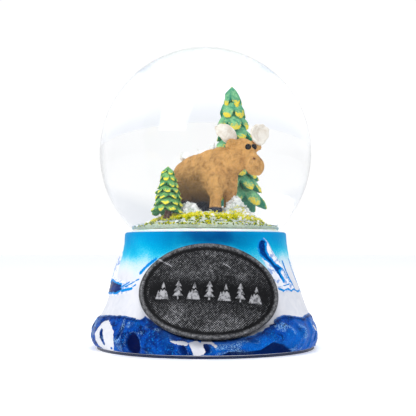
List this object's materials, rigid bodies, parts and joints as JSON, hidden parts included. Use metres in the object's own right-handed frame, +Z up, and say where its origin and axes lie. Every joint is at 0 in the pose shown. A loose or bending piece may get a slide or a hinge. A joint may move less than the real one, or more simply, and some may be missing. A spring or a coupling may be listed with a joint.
{
  "type": "snow globe",
  "caption": "Liquid-filled glass snow globe with a moose between two fir trees, on a blue mountain and rock base with a raised oval plaque.",
  "frame": {"origin": "middle of the felt on the underside of the base", "axes": "+Z up through the middle of the ball, -Y out through the plaque, which is the front, +X to the right of someone facing it"},
  "size_m": [0.0688, 0.0697, 0.0918],
  "materials": {
    "clear_glass": "gloss",
    "clear_liquid": "gloss",
    "stopper_rubber": "matte",
    "clear_sealant": "gloss",
    "clear_glue": "gloss",
    "scene_glue": "gloss",
    "island_resin": "matte",
    "flocked_grass": "matte",
    "snow_bed": "matte",
    "snow_flake": "satin",
    "glitter": "gloss",
    "moose_clay": "matte",
    "antler_white": "matte",
    "eye_black": "gloss",
    "fir_paint": "satin",
    "bark_paint": "matte",
    "base_paint": "satin",
    "cover_board": "matte",
    "base_felt": "matte",
    "plaque_metal": "satin",
    "plaque_tape": "matte"
  },
  "bodies": {
    "root": {"glass_globe": "clear_glass", "globe_liquid": "clear_liquid", "rubber_stopper": "stopper_rubber", "neck_sealant": "clear_sealant", "globe_glue": "clear_glue", "scene_adhesive": "scene_glue", "scene_island": "island_resin", "grass_flock": "flocked_grass", "settled_snow": "snow_bed", "snow_flakes": "snow_flake", "glitter_flecks": "glitter", "moose_body": "moose_clay", "moose_antler_right": "antler_white", "moose_antler_left": "antler_white", "moose_eyes": "eye_black", "tall_tree": "fir_paint", "tall_tree_trunk": "bark_paint", "small_tree": "fir_paint", "small_tree_trunk": "bark_paint", "base_casting": "base_paint", "base_cover": "cover_board", "felt_pad": "base_felt", "plaque": "plaque_metal", "plaque_adhesive": "plaque_tape"}
  },
  "joints": []
}
